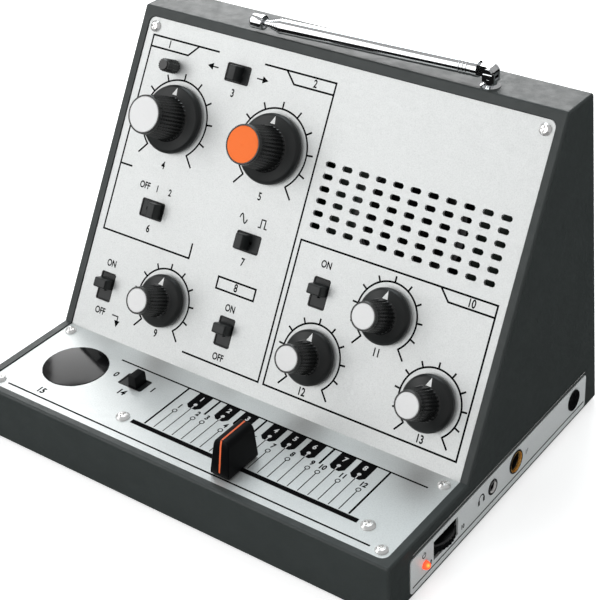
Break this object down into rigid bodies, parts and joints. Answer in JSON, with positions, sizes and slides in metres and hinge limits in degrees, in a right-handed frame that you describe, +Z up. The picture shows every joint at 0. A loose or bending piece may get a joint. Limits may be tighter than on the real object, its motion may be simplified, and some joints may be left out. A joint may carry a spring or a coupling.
{
  "type": "theremin",
  "caption": "Desktop theremin with a sloping control panel of dials and slide switches, a note fader, a trigger button and a folding telescopic antenna.",
  "frame": {"origin": "centre of the whole outline at the feet's underside", "axes": "+Z up, +X to the player's right, +Y towards the back"},
  "size_m": [0.211, 0.1636, 0.1619],
  "materials": {
    "case": "fine moulded grain, matt charcoal",
    "panel": "fine sparkling grain, satin, with black print",
    "strip": "brushed satin",
    "knob": "satin black",
    "cap_light": "satin off-white",
    "cap_orange": "satin orange",
    "steel": "plated",
    "chrome": "polished",
    "rubber": "matt",
    "gloss": "polished black",
    "lamp": "tinted clear, glowing",
    "board": "solder mask",
    "dark": "matt black",
    "cone": "treated paper",
    "cells": "printed sleeve, plain"
  },
  "bodies": {
    "console": {"case_shell": "case", "base_plate": "case", "base_screws": "steel", "rubber_feet": "rubber", "batteries": "cells", "front_panel": "panel", "panel_screws": "steel", "knob_pots": "steel", "pot_nuts": "steel", "trimmer_pot": "dark", "slide_switches": "dark", "trigger_switch": "dark", "deck_circuit_board": "board", "fader_body": "steel", "fader_screws": "chrome", "speaker_basket": "steel", "speaker_cone": "cone", "main_circuit_board": "board", "side_strip": "strip", "main_out_jack": "gloss", "headphone_jack": "gloss", "power_led": "lamp", "volume_pot": "dark", "side_circuit_board": "board", "antenna_mount": "chrome", "antenna_nut": "steel"},
    "antenna_pitch_dial": {"antenna_pitch_knob": "knob", "antenna_pitch_cap": "cap_light"},
    "slide_pitch_dial": {"slide_pitch_knob": "knob", "slide_pitch_cap": "cap_orange"},
    "decay_dial": {"decay_knob": "knob", "decay_cap": "cap_light"},
    "level_dial": {"level_knob": "knob", "level_cap": "cap_light"},
    "time_dial": {"time_knob": "knob", "time_cap": "cap_light"},
    "feedback_dial": {"feedback_knob": "knob", "feedback_cap": "cap_light"},
    "trimmer_dial": {"trimmer_knob": "knob"},
    "volume_dial": {"volume_wheel": "knob"},
    "mix_switch": {"mix_slider": "knob"},
    "modulation_switch": {"modulation_slider": "knob"},
    "waveform_switch": {"waveform_slider": "knob"},
    "drone_switch": {"drone_slider": "knob"},
    "vibrato_switch": {"vibrato_slider": "knob"},
    "delay_switch": {"delay_slider": "knob"},
    "octave_switch": {"octave_slider": "knob"},
    "fader": {"fader_lever": "steel", "fader_cap": "knob"},
    "trigger": {"trigger_button": "gloss"},
    "antenna_fork": {"antenna_swivel": "chrome", "antenna_hinge_pin": "chrome"},
    "antenna_arm": {"antenna_tube": "chrome"},
    "antenna_stage_2": {"antenna_section_2": "chrome"},
    "antenna_stage_3": {"antenna_section_3": "chrome"},
    "antenna_stage_4": {"antenna_section_4": "chrome"},
    "antenna_stage_5": {"antenna_section_5": "chrome"},
    "antenna_end": {"antenna_rod": "chrome", "antenna_tip": "chrome"},
    "battery_cover": {"battery_door": "case"}
  },
  "joints": [
    {"name": "antenna_pitch_turn", "type": "hinge", "parent": "console", "child": "antenna_pitch_dial", "pos_m": [-0.07475, 0.02233, 0.11235], "axis": [0, -0.8746, 0.4848], "range_deg": [-140, 140]},
    {"name": "slide_pitch_turn", "type": "hinge", "parent": "console", "child": "slide_pitch_dial", "pos_m": [-0.02195, 0.02233, 0.11235], "axis": [0, -0.8746, 0.4848], "range_deg": [-140, 140]},
    {"name": "decay_turn", "type": "hinge", "parent": "console", "child": "decay_dial", "pos_m": [-0.05625, -0.01452, 0.04588], "axis": [0, -0.8746, 0.4848], "range_deg": [-140, 140]},
    {"name": "level_turn", "type": "hinge", "parent": "console", "child": "level_dial", "pos_m": [0.02175, -0.01452, 0.04588], "axis": [0, -0.8746, 0.4848], "range_deg": [-140, 140]},
    {"name": "time_turn", "type": "hinge", "parent": "console", "child": "time_dial", "pos_m": [0.05005, -0.00186, 0.06871], "axis": [0, -0.8746, 0.4848], "range_deg": [-140, 140]},
    {"name": "feedback_turn", "type": "hinge", "parent": "console", "child": "feedback_dial", "pos_m": [0.07795, -0.01452, 0.04588], "axis": [0, -0.8746, 0.4848], "range_deg": [-140, 140]},
    {"name": "trimmer_turn", "type": "hinge", "parent": "console", "child": "trimmer_dial", "pos_m": [-0.08165, 0.033, 0.1316], "axis": [0, -0.8746, 0.4848], "range_deg": [-140, 140]},
    {"name": "volume_turn", "type": "hinge", "parent": "console", "child": "volume_dial", "pos_m": [0.09305, -0.0433, 0.0118], "axis": [0, 0, 1], "range_deg": [-140, 140]},
    {"name": "mix_slide", "type": "slide", "parent": "console", "child": "mix_switch", "axis": [1, 0, 0], "range_m": [-0.0028, 0.0028]},
    {"name": "modulation_slide", "type": "slide", "parent": "console", "child": "modulation_switch", "axis": [1, 0, 0], "range_m": [-0.0056, 0]},
    {"name": "waveform_slide", "type": "slide", "parent": "console", "child": "waveform_switch", "axis": [1, 0, 0], "range_m": [0, 0.0028]},
    {"name": "drone_slide", "type": "slide", "parent": "console", "child": "drone_switch", "axis": [0, 0.4848, 0.8746], "range_m": [-0.0028, 0]},
    {"name": "vibrato_slide", "type": "slide", "parent": "console", "child": "vibrato_switch", "axis": [0, 0.4848, 0.8746], "range_m": [-0.0028, 0]},
    {"name": "delay_slide", "type": "slide", "parent": "console", "child": "delay_switch", "axis": [0, 0.4848, 0.8746], "range_m": [-0.0028, 0]},
    {"name": "octave_slide", "type": "slide", "parent": "console", "child": "octave_switch", "axis": [1, 0, 0], "range_m": [-0.0028, 0]},
    {"name": "fader_slide", "type": "slide", "parent": "console", "child": "fader", "axis": [1, 0, 0], "range_m": [-0.047, 0.053]},
    {"name": "trigger_press", "type": "slide", "parent": "console", "child": "trigger", "axis": [0, 0, -1], "range_m": [0, 0.0007], "stiffness_N_per_m": 600, "springref_m": -0.0006},
    {"name": "antenna_swivel_turn", "type": "hinge", "parent": "console", "child": "antenna_fork", "pos_m": [0.06615, 0.04879, 0.1525], "axis": [0, 0, 1], "continuous": true},
    {"name": "antenna_tilt", "type": "hinge", "parent": "antenna_fork", "child": "antenna_arm", "pos_m": [0.06615, 0.04879, 0.1586], "axis": [-0.0314, 0.9995, 0], "range_deg": [0, 90.9]},
    {"name": "antenna_pull_1", "type": "slide", "parent": "antenna_arm", "child": "antenna_stage_2", "axis": [-0.9994, -0.0314, -0.0157], "range_m": [0, 0.078]},
    {"name": "antenna_pull_2", "type": "slide", "parent": "antenna_stage_2", "child": "antenna_stage_3", "axis": [-0.9994, -0.0314, -0.0157], "range_m": [0, 0.078]},
    {"name": "antenna_pull_3", "type": "slide", "parent": "antenna_stage_3", "child": "antenna_stage_4", "axis": [-0.9994, -0.0314, -0.0157], "range_m": [0, 0.078]},
    {"name": "antenna_pull_4", "type": "slide", "parent": "antenna_stage_4", "child": "antenna_stage_5", "axis": [-0.9994, -0.0314, -0.0157], "range_m": [0, 0.078]},
    {"name": "antenna_pull_5", "type": "slide", "parent": "antenna_stage_5", "child": "antenna_end", "axis": [-0.9994, -0.0314, -0.0157], "range_m": [0, 0.078]},
    {"name": "battery_door_swing", "type": "hinge", "parent": "console", "child": "battery_cover", "pos_m": [-0.00135, 0.00985, 0.0026], "axis": [-1, 0, 0], "range_deg": [0, 90]}
  ]
}
